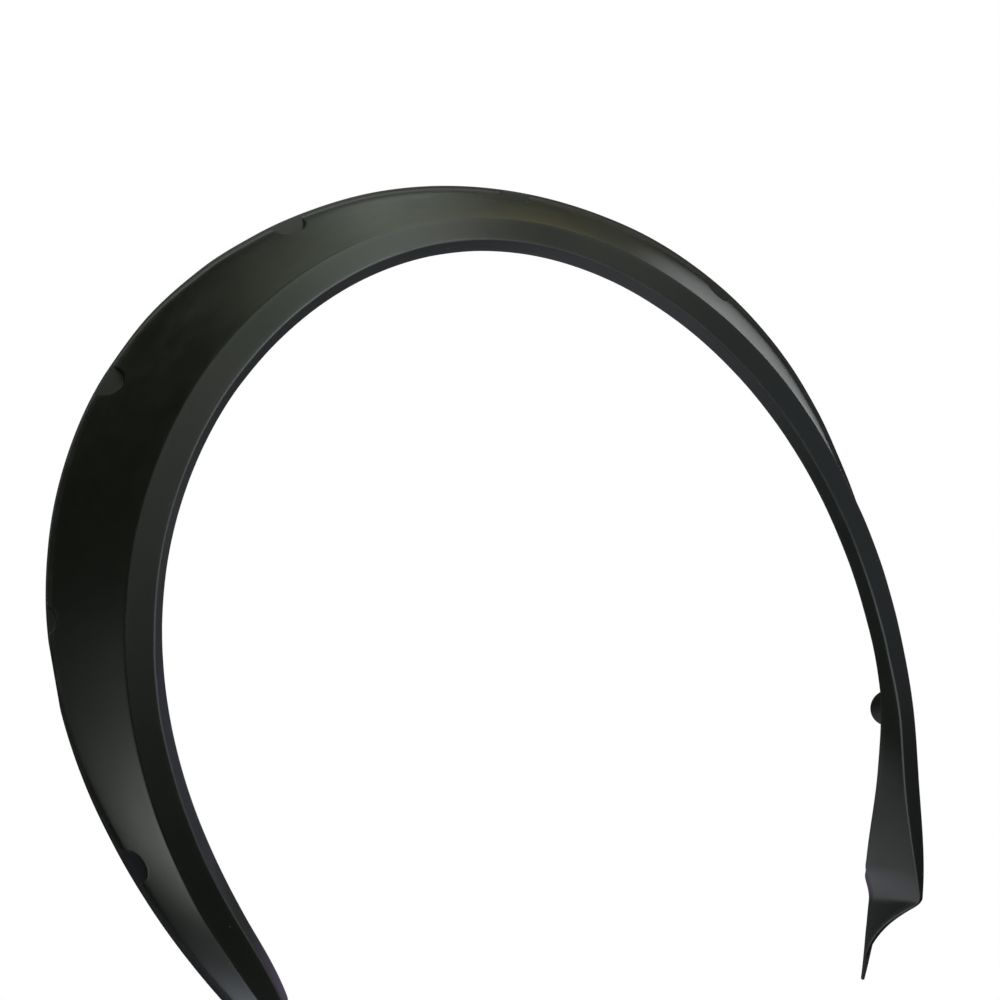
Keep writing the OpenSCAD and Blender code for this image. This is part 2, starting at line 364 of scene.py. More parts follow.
# How the foot of the side face differs from the even one: length along the flange's edge in
# millimetres, share of the flat strip's width, and how many times its reach the fillet has
FOOT_CHANGES = (
    (-720, 1.0, 1.0), (-470, 1.0, 1.0), (-410, 0.9, 5.0), (-350, 0.9, 8.0), (-290, 0.9, 6.0),
    (-200, 1.0, 3.0), (-60, 1.0, 1.6), (150, 1.0, 1.6), (230, 0.6, 2.5), (300, 0.4, 3.0),
    (440, 0.35, 3.0), (520, 0.8, 1.4), (720, 1.0, 1.2),
)


def flat_places(shape):
    """Places, length shares and reach shares of the half-round flats."""
    even = [(k + 0.5) * shape.flat_pitch for k in range(-shape.flat_pairs, shape.flat_pairs)]
    changes = FLAT_CHANGES if len(even) == len(FLAT_CHANGES) else [(0, 1, 1)] * len(even)
    return [(s + off * MM, long, deep) for s, (off, long, deep) in zip(even, changes)]


def between_knots(table, s, column):
    """A column of a table by length along the flange's edge, at lengths s."""
    knots = np.array(table)
    return np.interp(s / MM, knots[:, 0], knots[:, column])


def line_shifts(s):
    """How far edge, crease, rim and lip lie beside their even places, at lengths s."""
    knots = np.array(LINE_SHIFTS) * MM
    k = np.clip(np.searchsorted(knots[:, 0], s) - 1, 0, len(knots) - 2)
    a, b = knots[k], knots[k + 1]
    u = np.clip((s - a[:, 0]) / (b[:, 0] - a[:, 0]), 0, 1)
    return mix(a, b, u * u * (3 - 2 * u))[:, 1:].T


def ring_places(shape, flats):
    """Lengths at which the strip has a ring: close together at the flats and at the ends."""
    half = shape.strip_len / 2
    tail = shape.tail_len + HOLLOW_OPEN + END_MARGIN
    turns = np.linspace(-math.pi / 2, math.pi / 2, FLAT_RINGS)
    found = [np.arange(half - tail, half, END_PITCH), [half]]
    found.append(-np.concatenate(found))
    edges = [-half + tail]
    for p, long, _ in flats:
        inner_half, outer_half = shape.flat_r * long, shape.flat_r * long + shape.wall
        found += [p + inner_half * np.sin(turns), p + outer_half * np.sin(turns)]
        edges += [p - outer_half, p + outer_half]
    edges.append(half - tail)
    for a, b in zip(edges[::2], edges[1::2]):
        found.append(np.linspace(a, b, max(2, round((b - a) / RING_PITCH))))
    places = np.unique(np.round(np.concatenate(found), 6))
    return places[np.concatenate([[True], np.diff(places) > LEAST_PITCH])]


def reach_in(s, flats, flat_set, radius, wall):
    """How far the flats, with a wall round them, reach in from the flange's edge."""
    reach = np.zeros_like(s)
    for p, long, deep in flats:
        inside = 1 - ((s - p) / (radius * long + wall)) ** 2
        bulge = deep * flat_set + (radius * deep + wall) * np.sqrt(np.maximum(inside, 0))
        reach = np.where(inside > 0, np.maximum(reach, bulge), reach)
    return reach


def capped(reach, *widths):
    """A rounding's reach, less where a face beside it is narrow."""
    for width in widths:
        reach = np.minimum(reach, width * MOST_ROUNDING)
    return reach


class Section:
    """The strip's section, as arrays over the rings, and the rows of points round it.

    The rows start at the flange's back edge and run over the outer skin to the lip and back
    through the hollow. Each row has weights for the masks: how far it is an edge that gets
    rubbed, how far dust gathers there, if it lies on the side that faces the car, and if it is
    on one of the lines where a highlight is painted into the colour.
    """

    MASKS = ("edge", "dust", "inner", "rim_line", "crease_line", "strip_line")

    def __init__(self, shape, line, flats, s):
        self.shape = shape
        self.to_end = shape.strip_len / 2 - np.abs(s)
        self.place_corners(line, s)
        self.place_flats(flats, s)
        self.limit_roundings()
        self.points, self.weights = [], []

    def place_corners(self, line, s):
        """The four corners of the outer skin: foot of the side face, crease, rim and lip."""
        g, e, a = self.shape, self.to_end, line.angle_at(s)
        edge_out, crease_out, rim_in, lip_in = line_shifts(s)
        out, full = line.out_at(a) + edge_out, line.depth_at(a)
        scoop = full * (np.maximum(e, 0) / g.tail_len) ** g.tail_scoop
        front = np.maximum(soft_min(full, scoop, g.corner_round), g.flange_t)
        share = front / full
        tail_w = g.tip_w + g.tail_flare * e
        strip = np.minimum(g.flange_flat * between_knots(FOOT_CHANGES, s, 1), tail_w / 2)
        near_end = taper(e, g.tail_len + ENDS_FROM, g.narrow_run - ENDS_TO)
        narrowing = np.clip((g.narrow_run - e) / (g.narrow_run - g.tail_len), 0, 1) ** NARROW_POWER
        deepening = np.maximum((g.deepen_run - e) / (g.deepen_run - g.deepen_end), 0)
        deepening = soft_min(deepening, 1.0, DEEPEN_SOFT) ** DEEPEN_POWER
        in_tail = taper(e, g.tail_len + LIP_START, g.tail_len + LIP_FREE)
        crease_full = g.front_w + g.crease_shift * near_end
        rim_full = (crease_full - g.wall) * narrowing
        lip_full = mix(rim_full - mix(g.lip_in, g.end_lip_in, near_end), out - tail_w, in_tail)
        rim_full = rim_full - rim_in
        lip_full = lip_full - lip_in * (1 - in_tail)
        crease_full = crease_full + crease_out

        foot_n = out - strip
        crease_n = mix(foot_n, crease_full, share)
        rim_n = mix(lip_full, rim_full, share)
        lip_depth = (front - g.lip_back) * (1 - deepening)
        side = point(foot_n, g.flange_t)
        crease = point(crease_n, front - g.front_drop * share * (crease_n - rim_n) / g.front_w)
        rim = point(rim_n, front)
        lip = point(lip_full, np.maximum(np.minimum(lip_depth, front - FOOT), 0))
        self.out, self.strip, self.foot_n = out, strip, foot_n
        self.side_span = foot_n - crease_n
        self.side, self.crease, self.rim, self.lip = side, crease, rim, lip
        self.side_way, self.front_way, self.lip_way = (
            unit(crease - side), unit(rim - crease), unit(lip - rim)
        )
        self.side_len, self.front_len = distance(side, crease), distance(crease, rim)
        self.bow = self.side_len**2 / (8 * g.side_bow_r)

    def on_side(self, t):
        """Points of the slightly hollow side face, from 0 at its foot to 1 at the crease."""
        t = np.broadcast_to(np.asarray(t, float), self.bow.shape)
        hollow = turned(self.side_way) * (self.bow * 4 * t * (1 - t))[:, None]
        return mix(self.side, self.crease, t) + hollow

    def place_flats(self, flats, s):
        """How far the flats and their walls reach in, and where they meet the side face."""
        g, strip = self.shape, self.strip
        flat_in = reach_in(s, flats, g.flat_set, g.flat_r, 0)
        back_in = reach_in(s, flats, g.flat_set, g.flat_r, g.wall)
        self.is_flat = np.clip((flat_in - strip) / FLAT_FADE, 0, 1)
        self.reach = np.maximum(flat_in, strip)
        self.lining_in = np.maximum(back_in, strip + g.wall)
        self.fillet = g.fillet * between_knots(FOOT_CHANGES, s, 2)
        self.fillet_share = np.minimum(self.fillet / self.side_len, MOST_ROUNDING)
        self.start = mix(self.fillet_share, (self.reach - strip) / self.side_span, self.is_flat)
        self.lining_start = np.where(
            back_in > strip + g.wall,
            (self.lining_in - strip - g.wall * self.side_way[:, 1]) / self.side_span,
            0,
        )

    def limit_roundings(self):
        """Reach of the roundings at crease, rim and flange, less where a face is narrow."""
        g = self.shape
        self.finish = 1 - np.minimum(g.crease_round / self.side_len, MOST_ROUNDING)
        self.crease_reach = capped(g.crease_round, self.front_len, self.side_len)
        self.rim_reach = capped(g.rim_round, self.front_len, distance(self.rim, self.lip))
        self.bevel = capped(g.flange_bevel, self.strip)

    def add(self, rows, **weights):
        """Add rows of points with the weights of their masks."""
        self.points.extend(rows)
        self.weights.extend([[weights.get(name, 0.0) for name in self.MASKS]] * len(rows))

    def add_flange(self):
        """The flange's back edge, its bevel, its flat strip and the fillet, or a flat's foot."""
        g, out, bevel = self.shape, self.out, self.bevel
        zero = np.zeros_like(out)
        across, rise = point(zero + 1, zero), point(zero, zero + 1)
        corner, strip_from = point(out, g.flange_t), point(out - bevel, g.flange_t)
        self.add(rounded(point(out, 0), across, rise, np.minimum(BACK_EDGE, bevel), 2), edge=0.2)
        self.add(bend(point(out, g.flange_t - bevel), corner, strip_from, 4), edge=0.3)
        fillet_from = mix(
            point(self.foot_n + np.minimum(self.fillet, self.strip / 2), g.flange_t),
            point(out - self.reach + FOOT, g.flange_t),
            self.is_flat,
        )
        self.fillet_to = mix(
            self.on_side(self.fillet_share * FILLET_END),
            point(out - self.reach, g.flange_t + FOOT),
            self.is_flat,
        )
        foot = point(out - self.reach, g.flange_t)
        # The flange's flat strip carries the mask of a painted highlight line
        self.add(between(strip_from, fillet_from, 3), strip_line=1.0)
        self.add(bend(fillet_from, foot, self.fillet_to, 7), dust=1.0)

    def add_side(self):
        """The side face, from the upper edge of a flat's wall or the fillet's end to the crease.

        Between the flats the rows of that upper edge run out into the fillet.
        """
        top = self.on_side(self.start)
        along_side = unit(self.on_side(self.start + SIDE_STEP) - top)
        top_reach = np.minimum(WALL_TOP, distance(self.fillet_to, top) * MOST_WALL_TOP)
        rounding = rounded(top, unit(top - self.fillet_to), along_side, top_reach, 3)
        for k, row in enumerate(rounding):
            share = FILLET_END + (1 - FILLET_END) * (k + 1) / 4
            self.add([mix(self.on_side(self.fillet_share * share), row, self.is_flat)], edge=0.35)
        side_start = self.start + mix(0, WALL_TOP / self.side_len, self.is_flat)
        for k in range(1, SIDE_ROWS + 1):
            self.add([self.on_side(mix(side_start, self.finish, k / (SIDE_ROWS + 1)))])

    def add_front(self):
        """The crease, the front face and the rim."""
        crease_reach, rim_reach = self.crease_reach[:, None], self.rim_reach[:, None]
        crease = rounded(self.crease, self.side_way, self.front_way, self.crease_reach, 7)
        # The crease's rows carry the mask of a painted highlight line
        self.add(crease, edge=0.8, crease_line=1.0)
        crease_end = self.crease + crease_reach * self.front_way
        rim_start = self.rim - rim_reach * self.front_way
        self.add(between(crease_end, rim_start, 4))
        rim = rounded(self.rim, self.front_way, self.lip_way, self.rim_reach, RIM_STEPS)
        # The rim's middle rows carry the mask of the painted highlight line
        for k, row in enumerate(rim):
            off_middle = abs(k - RIM_STEPS / 2) / RIM_LINE_HALF
            self.add([row], edge=1.0, rim_line=max(0.0, 1 - off_middle**2))

    def add_lip(self):
        """The lip, its free edge and the inside; near the ends the strip is solid."""
        g, e = self.shape, self.to_end
        is_hollow = 1 - taper(e, g.tail_len + HOLLOW_CLOSE, g.tail_len + HOLLOW_OPEN)
        heel_share = HEEL_SHARE + HEEL_GAIN * self.lip[:, 1]
        heel = point(mix(self.lip[:, 0], self.foot_n, heel_share), 0)
        lip_back = mix(heel, self.lip + g.wall * turned(self.lip_way), is_hollow)
        back_way = unit(lip_back - self.lip)
        lip_edge = capped(LIP_EDGE, distance(self.rim, self.lip), distance(self.lip, lip_back))
        rim_end = self.rim + self.rim_reach[:, None] * self.lip_way
        self.add(between(rim_end, self.lip - lip_edge[:, None] * self.lip_way, 3))
        self.add(rounded(self.lip, self.lip_way, back_way, lip_edge, 3), edge=0.6)
        lining = self.lining(back_way)
        count = len(lining)
        closed = [heel + (point(self.out, 0) - heel) * (k / count) for k in range(count)]
        inside = [mix(c, p, is_hollow) for c, p in zip(closed, lining)]
        self.add(inside, inner=1.0)
        self.add(between(inside[-1], point(self.out - BACK_EDGE, 0), 2), inner=1.0)

    def lining(self, back_way):
        """Rows on the inside of the wall, from the lip to the flange's back."""
        g = self.shape

        def mitre(corner, va, vb):
            return corner + g.wall * (va + vb) / (1 + np.sum(va * vb, axis=-1, keepdims=True))

        side_in, front_in = turned(self.side_way), turned(self.front_way)
        rim_inner = mitre(self.rim, front_in, turned(self.lip_way))
        crease_inner = mitre(self.crease, side_in, front_in)
        lip_inner = self.lip + g.wall * turned(self.lip_way)
        small = capped(INNER_ROUND, distance(rim_inner, crease_inner))
        small_lip = capped(small, distance(lip_inner, rim_inner))
        edge = np.minimum(LIP_EDGE, small_lip)
        rows = rounded(lip_inner, back_way, -self.lip_way, edge, 2)
        rows += rounded(rim_inner, -self.lip_way, -self.front_way, small_lip, 3)
        rows += between(
            rim_inner - small_lip[:, None] * self.front_way,
            crease_inner + small[:, None] * self.front_way,
            1,
        )
        rows += rounded(crease_inner, -self.front_way, -self.side_way, small, 3)
        for k in range(1, LINING_ROWS + 1):
            t = mix(LINING_END, self.lining_start, k / LINING_ROWS)
            rows.append(self.on_side(t) + g.wall * side_in)
        return rows + [point(self.out - self.lining_in, 0)]

    def rows(self):
        """Points as (rings, rows, 2) and, for each mask, its weight in every row."""
        self.add_flange()
        self.add_side()
        self.add_front()
        self.add_lip()
        return np.stack(self.points, axis=1), dict(zip(self.MASKS, np.array(self.weights).T))


def strip_mesh(g):
    """Points, faces and masks of the whole strip."""
    line = StripLine(g)
    flats = flat_places(g)
    s = ring_places(g, flats)
    section = Section(g, line, flats, s)
    points, masks = section.rows()
    rings, count = points.shape[:2]
    a = line.angle_at(s)
    near_end = taper(section.to_end, g.tail_len + ENDS_FROM, g.narrow_run)
    twist = -np.sign(s) * g.end_twist / g.leg_depth * near_end
    n = points[..., 0] + twist[:, None] * points[..., 1]
    flat = line.place(np.repeat(a[:, None], count, 1), n) - line.origin
    co = np.stack([flat[..., 0], -points[..., 1], flat[..., 1]], axis=-1)
    along = np.repeat(s[:, None], count, 1)
    steps = np.linalg.norm(np.diff(points, axis=1), axis=-1)
    around = np.concatenate([np.zeros((rings, 1)), np.cumsum(steps, axis=1)], axis=1)
    # The painted highlight: how much of the light colour each row of the rim, crease and flange
    # strip lines takes, by place along the strip
    painted_shine = sum(
        np.outer(between_knots(PAINTED_LINE_SHINE, s, column), masks[line_mask])
        for column, line_mask in enumerate(("rim_line", "crease_line", "strip_line"), 1)
    )

    tips = []
    for ring, way in ((0, -1), (rings - 1, 1)):
        at = a[ring : ring + 1]
        onward = np.stack([-np.cos(at), -np.sin(at)], axis=-1)
        p = line.place(at, line.out_at(at) - g.tip_w / 2) + way * g.tip_w / 2 * onward
        p = (p - line.origin)[0]
        tips.append([p[0], -g.flange_t / 2, p[1]])
    co = np.concatenate([co.reshape(-1, 3), np.array(tips)])

    i = np.arange(rings - 1)[:, None] * count
    j = np.arange(count)[None, :]
    nxt = (j + 1) % count
    faces = np.stack([i + j, i + j + count, i + nxt + count, i + nxt], axis=-1).reshape(-1, 4)
    is_inner = masks["inner"] * np.roll(masks["inner"], -1) > 0
    inner = np.broadcast_to(is_inner[None, :], (rings - 1, count))
    last = (rings - 1) * count
    fans = [(int(p), int(q), rings * count) for p, q in zip(j[0], nxt[0])]
    fans += [(int(last + q), int(last + p), rings * count + 1) for p, q in zip(j[0], nxt[0])]

    def with_tips(values, at_tips=(0.0, 0.0)):
        return np.concatenate([values.reshape(-1), at_tips])

    return {
        "co": co,
        "faces": faces.tolist() + fans,
        "inner": np.concatenate([inner.reshape(-1), np.zeros(len(fans), bool)]),
        "edge": with_tips(np.tile(masks["edge"], rings), (1.0, 1.0)),
        "corner": with_tips(np.tile(masks["dust"], rings)),
        "painted_shine": with_tips(painted_shine),
        "along": with_tips(along, (s[0], s[-1])),
        "around": with_tips(around),
    }


# Shader node helpers and shared groups


WHITE = (1.0, 1.0, 1.0, 1.0)


class Graph:
    """A node tree with short ways to add nodes and links."""

    def __init__(self, tree):
        self.tree = tree

    def node(self, kind, label="", *places, settings=None, **named):
        """A new shader node with its settings and its inputs' values, by place and by name."""
        made = self.tree.nodes.new("ShaderNode" + kind)
        made.label = label
        for key, value in (settings or {}).items():
            setattr(made, key, value)
        for index, value in enumerate(places):
            self.feed(made.inputs[index], value)
        for key, value in named.items():
            self.feed(made.inputs[key.replace("_", " ")], value)
        return made

    def feed(self, socket, value):
        """Link an output to a socket, or set a plain value on it."""
        if isinstance(value, bpy.types.NodeSocket):
            self.tree.links.new(value, socket)
        else:
            socket.default_value = value

    def maths(self, operation, a, b, clamp=False):
        """A sum, power or the like of two values."""
        settings = {"operation": operation, "use_clamp": clamp}
        return self.node("Math", "", a, b, settings=settings).outputs[0]

    def times(self, a, b, clamp=False):
        """The product of two values."""
        return self.maths("MULTIPLY", a, b, clamp)

    def blend(self, amount, a, b, label=""):
        """Colour b over colour a by an amount."""
        made = self.node("Mix", label, amount, settings={"data_type": "RGBA"})
        self.feed(made.inputs[6], a)
        self.feed(made.inputs[7], b)
        return made.outputs[2]

    def remap(self, value, low, high, to_low=0.0, to_high=1.0, label=""):
        """A value carried from one range to another."""
        return self.node("MapRange", label, value, low, high, to_low, to_high).outputs[0]

    def noise(self, vector, scale, detail, roughness, label):
        """Noise from 0 to 1, with its scale per metre."""
        made = self.node(
            "TexNoise", label, Vector=vector, Scale=scale, Detail=detail, Roughness=roughness
        )
        return made.outputs["Fac"]

    def attribute(self, name):
        """A number kept on the mesh's points."""
        return self.node("Attribute", name, settings={"attribute_name": name}).outputs["Fac"]

    def finish(self, shader, kind="OutputMaterial"):
        """Put a shader on the surface of a new output node."""
        self.node(kind, Surface=shader.outputs[0])


def emptied(owner):
    """The graph of a material or world, with its nodes on and cleared."""
    owner.use_nodes = True
    graph = Graph(owner.node_tree)
    graph.tree.nodes.clear()
    return graph


def new_group(name, outputs, **inputs):
    """An empty node group, as its graph, the sockets it is given and those of its result.

    An input without a default is a vector. All else are numbers.
    """
    tree = bpy.data.node_groups.new(name, "ShaderNodeTree")
    for socket, default in inputs.items():
        kind = "NodeSocketVector" if default is None else "NodeSocketFloat"
        made = tree.interface.new_socket(name=socket, in_out="INPUT", socket_type=kind)
        if default is not None:
            made.default_value = default
    for socket in outputs:
        tree.interface.new_socket(name=socket, in_out="OUTPUT", socket_type="NodeSocketFloat")
    given, result = tree.nodes.new("NodeGroupInput"), tree.nodes.new("NodeGroupOutput")
    return Graph(tree), given.outputs, result.inputs


def grain_group():
    """Fine moulded grain, as a height in metres."""
    graph, given, result = new_group(
        "Moulded grain", ["Height"], Vector=None, Scale=2000.0, Depth=0.00001
    )
    cells = graph.node(
        "TexVoronoi", "Grain cells", settings={"feature": "SMOOTH_F1"},
        Vector=given["Vector"], Scale=given["Scale"], Smoothness=0.6,
    )
    cloud_scale = graph.times(given["Scale"], 0.31)
    cloud = graph.noise(given["Vector"], cloud_scale, 3.0, 0.5, "Grain clouds")
    grain = graph.remap(graph.maths("ADD", cells.outputs["Distance"], cloud), 0.5, 1.3)
    graph.feed(result["Height"], graph.times(grain, given["Depth"]))
    return graph.tree


def marks_group():
    """Surface marks: soft smudges and hair scratches that run along the strip."""
    graph, given, result = new_group(
        "Surface marks", ["Smudges", "Scratches"], Vector=None, Along=None
    )
    broad = graph.noise(given["Vector"], 14.0, 3.0, 0.55, "Broad smudges")
    fine = graph.noise(given["Vector"], 95.0, 4.0, 0.6, "Fine smudges")
    smudges = graph.times(graph.remap(broad, 0.42, 0.68), graph.remap(fine, 0.3, 0.7))
    stretched = graph.node(
        "Mapping", "Along the strip",
        Vector=given["Along"], Scale=(24.0, 2600.0, 1.0), Rotation=(0.0, 0.0, 0.05),
    )
    hairs = graph.noise(stretched.outputs["Vector"], 1.0, 1.0, 0.4, "Hair scratches")
    here = graph.noise(given["Vector"], 31.0, 2.0, 0.5, "Where they lie")
    scratches = graph.times(graph.remap(hairs, 0.69, 0.74), graph.remap(here, 0.5, 0.62))
    graph.feed(result["Smudges"], smudges)
    graph.feed(result["Scratches"], scratches)
    return graph.tree


def rub_group():
    """Rubbed edges: a mask from the mesh's edge attribute, broken up by noise."""
    graph, given, result = new_group("Rubbed edges", ["Mask"], Vector=None, Edge=0.0, Amount=0.3)
    chips = graph.noise(given["Vector"], 420.0, 4.0, 0.65, "Small rubs")
    runs = graph.noise(given["Vector"], 38.0, 2.0, 0.5, "Longer rubs")
    broken = graph.times(graph.remap(chips, 0.35, 0.7), graph.remap(runs, 0.3, 0.62))
    rubbed = graph.times(graph.maths("POWER", given["Edge"], 1.6), broken)
    graph.feed(result["Mask"], graph.times(rubbed, given["Amount"], clamp=True))
    return graph.tree


def dust_group():
    """Fine dust: a mask for corners and for faces that look up, with single specks."""
    graph, given, result = new_group(
        "Settled dust", ["Mask", "Specks"], Vector=None, Corner=0.0, Amount=0.1
    )
    normal = graph.node("NewGeometry", "Which way the surface looks").outputs["Normal"]
    upward = graph.remap(graph.node("SeparateXYZ", "", normal).outputs["Z"], 0.1, 1.0)
    cloud = graph.noise(given["Vector"], 55.0, 5.0, 0.65, "Dust clouds")
    lying = graph.times(upward, graph.remap(cloud, 0.35, 0.75))
    corner = graph.times(given["Corner"], graph.remap(cloud, 0.25, 0.7))
    both = graph.maths("MAXIMUM", lying, corner)
    graph.feed(result["Mask"], graph.times(both, given["Amount"], clamp=True))
    cells = graph.node(
        "TexVoronoi", "Specks", settings={"feature": "F1"}, Vector=given["Vector"], Scale=62.0
    )
    dots = graph.remap(cells.outputs["Distance"], 0.035, 0.02)
    rare = graph.node("SeparateColor", "", cells.outputs["Color"]).outputs[0]
    graph.feed(result["Specks"], graph.times(dots, graph.remap(rare, 0.8, 0.82)))
    return graph.tree


# Specular level of the skin and of the back, size of the back's grain in the skin's, and the
# plastic's refraction
SKIN_SPECULAR, BACK_SPECULAR = 0.5, 0.35
BACK_GRAIN = 1.6
PLASTIC_IOR = 1.49
# Darkest and brightest tone as shares of the colour
TONE_LOW, TONE_HIGH = 0.88, 1.14
# What tone, smudges, dust and rubbing add to or take from the roughness
TONE_ROUGH, SMUDGE_ROUGH, DUST_ROUGH, RUB_ROUGH = 0.03, 0.06, 0.5, 0.12
SCRATCH_DEPTH = 0.004 * MM
SPECK_STRENGTH = 0.5


def plastic(name, groups, finish, base, roughness, specular, grain_size, dusting):
    """A moulded black plastic, for the outer skin or for the side that faces the car."""
    material = bpy.data.materials.new(name)
    material.diffuse_color = (*base, 1.0)
    graph = emptied(material)
    place = graph.node("TexCoord").outputs["Object"]
    along, around, edge, corner, painted_shine = (
        graph.attribute(key) for key in ("along", "around", "edge", "corner", "painted_shine")
    )
    strip = graph.node("CombineXYZ", "Strip coordinates", along, around).outputs[0]

    def group(kind, **values):
        settings = {"node_tree": groups[kind]}
        return graph.node("Group", kind, settings=settings, Vector=place, **values).outputs

    grain = group("Moulded grain", Scale=1 / grain_size, Depth=finish.grain_depth)
    marks = group("Surface marks", Along=strip)
    rub = group("Rubbed edges", Edge=edge, Amount=finish.wear)
    dust = group("Settled dust", Corner=corner, Amount=dusting)

    tone = graph.noise(place, 5.5, 3.0, 0.5, "Slow changes of tone")
    low, high = ((*[c * share for c in base], 1.0) for share in (TONE_LOW, TONE_HIGH))
    body = graph.blend(graph.remap(tone, 0.3, 0.7), low, high, "Tone")
    # Colours laid over the body: rubbed edges, a painted highlight along the rim, crease and
    # flange strip lines, dust and specks
    for mask, over, label in (
        (rub["Mask"], finish.rubbed, "Rubbed"),
        (graph.times(painted_shine, finish.painted_shine), finish.painted_highlight, "Polished lines"),
        (dust["Mask"], finish.dust, "Dust"),
        (graph.times(dust["Specks"], SPECK_STRENGTH), finish.dust, "Specks"),
    ):
        body = graph.blend(mask, body, (*over, 1.0), label)

    low, high = roughness - TONE_ROUGH, roughness + TONE_ROUGH
    rough = graph.remap(tone, 0.25, 0.75, low, high, "Base roughness")
    for operation, mask, change in (
        ("ADD", marks["Smudges"], SMUDGE_ROUGH),
        ("ADD", dust["Mask"], DUST_ROUGH),
        ("SUBTRACT", rub["Mask"], RUB_ROUGH),
    ):
        rough = graph.maths(operation, rough, graph.times(mask, change))
    scratches = graph.times(marks["Scratches"], SCRATCH_DEPTH)
    height = graph.maths("SUBTRACT", grain["Height"], scratches)
    bump = graph.node("Bump", "Grain and scratches", Strength=1.0, Distance=1.0, Height=height)
    graph.finish(graph.node(
        "BsdfPrincipled", name, Base_Color=body, Roughness=rough, IOR=PLASTIC_IOR,
        Normal=bump.outputs["Normal"], Specular_IOR_Level=specular,
    ))
    return material


# Operators, each with what only it uses


class FLARE_OT_strip(bpy.types.Operator):
    """Build the moulded strip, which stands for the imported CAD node"""

    bl_idname = "flare.strip"
    bl_label = "Build Strip"

    def execute(self, context):
        shape, finish = context.scene.flare_shape, context.scene.flare_finish
        made = strip_mesh(shape)
        low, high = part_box(NODE)
        co = np.clip(made["co"], np.array(low), np.array(high))  # never past the CAD node
        mesh = bpy.data.meshes.new(STRIP_NAME)
        mesh.from_pydata(co.tolist(), [], made["faces"])
        for name in ("along", "around", "edge", "corner", "painted_shine"):
            layer = mesh.attributes.new(name, "FLOAT", "POINT")
            layer.data.foreach_set("value", made[name].astype(np.float32))
        mesh.polygons.foreach_set("material_index", made["inner"].astype(np.int32))
        mesh.polygons.foreach_set("use_smooth", np.ones(len(mesh.polygons), bool))
        mesh.update()
        mesh.set_sharp_from_angle(angle=SHARP_FROM)
        if mesh.validate():
            raise RuntimeError("the strip's mesh has faults")
        groups = {
            "Moulded grain": grain_group(),
            "Surface marks": marks_group(),
            "Rubbed edges": rub_group(),
            "Settled dust": dust_group(),
        }
        mesh.materials.append(
            plastic("satin_black_plastic", groups, finish, finish.skin, finish.skin_rough,
                    SKIN_SPECULAR, finish.grain, finish.dusting)
        )
        mesh.materials.append(
            plastic("plain_black_plastic", groups, finish, finish.back, finish.back_rough,
                    BACK_SPECULAR, finish.grain * BACK_GRAIN, finish.dusting / 2)
        )
        strip = add_object(context, STRIP_NAME, mesh)
        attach(strip, "root")
        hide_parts(NODE)
        return {"FINISHED"}


def seen_directly(graph):
    """1 for camera, glossy and transmission rays, and 0 for light that falls on the strip."""
    path = graph.node("LightPath").outputs
    seen = graph.maths("MAXIMUM", path["Is Camera Ray"], path["Is Glossy Ray"])
    return graph.maths("MAXIMUM", seen, path["Is Transmission Ray"])


# Distances from the floor's middle over which it fades to white, and how white it starts
FADE_FROM, FADE_TO, LEAST_WHITE = 0.35, 0.62, 0.5
# Tone of the floor's paper between its fibres, as a share of its colour
PAPER_TONE = 0.99


def floor_material(stage):
    """A plain pale floor that keeps shadows near the strip and fades to white further off."""
    material = bpy.data.materials.new("pale_floor")
    graph = emptied(material)
    place = graph.node("TexCoord").outputs["Object"]
    away = graph.node("VectorMath", "Distance", place, settings={"operation": "LENGTH"})
    away = away.outputs["Value"]
    far = graph.remap(away, FADE_FROM, FADE_TO, LEAST_WHITE, 1.0, "Fades to white")
    speck = graph.noise(place, 260.0, 3.0, 0.6, "Paper fibres")
    between_fibres = (*[c * PAPER_TONE for c in stage.floor], 1.0)
    tone = graph.blend(speck, between_fibres, (*stage.floor, 1.0))
    paper = graph.node(
        "BsdfPrincipled", "Paper", Base_Color=tone, Roughness=0.9, Specular_IOR_Level=0.1
    )
    white = graph.node("Emission", "White", Strength=1.0, Color=WHITE)
    share = graph.times(far, seen_directly(graph))
    graph.finish(
        graph.node("MixShader", "Paper or white", share, paper.outputs[0], white.outputs[0])
    )
    return material


def tent_material(stage):
    """The even dark tone of the tent."""
    material = bpy.data.materials.new("tent_cloth")
    graph = emptied(material)
    graph.finish(graph.node("Emission", "Cloth", Strength=1.0, Color=(*stage.tent, 1.0)))
    return material


def add_object(context, name, data):
    """A new object in the scene."""
    made = bpy.data.objects.new(name, data)
    context.scene.collection.objects.link(made)
    return made


def plain_mesh(name, corners, faces, material):
    """A mesh of one material."""
    mesh = bpy.data.meshes.new(name)
    mesh.from_pydata(corners, [], faces)
    mesh.materials.append(material)
    return mesh


def aim(obj, at, target):
    """Put obj at a place with its -Z towards the target."""
    obj.location = Vector(at)
    obj.rotation_euler = (Vector(target) - Vector(at)).to_track_quat("-Z", "Y").to_euler()


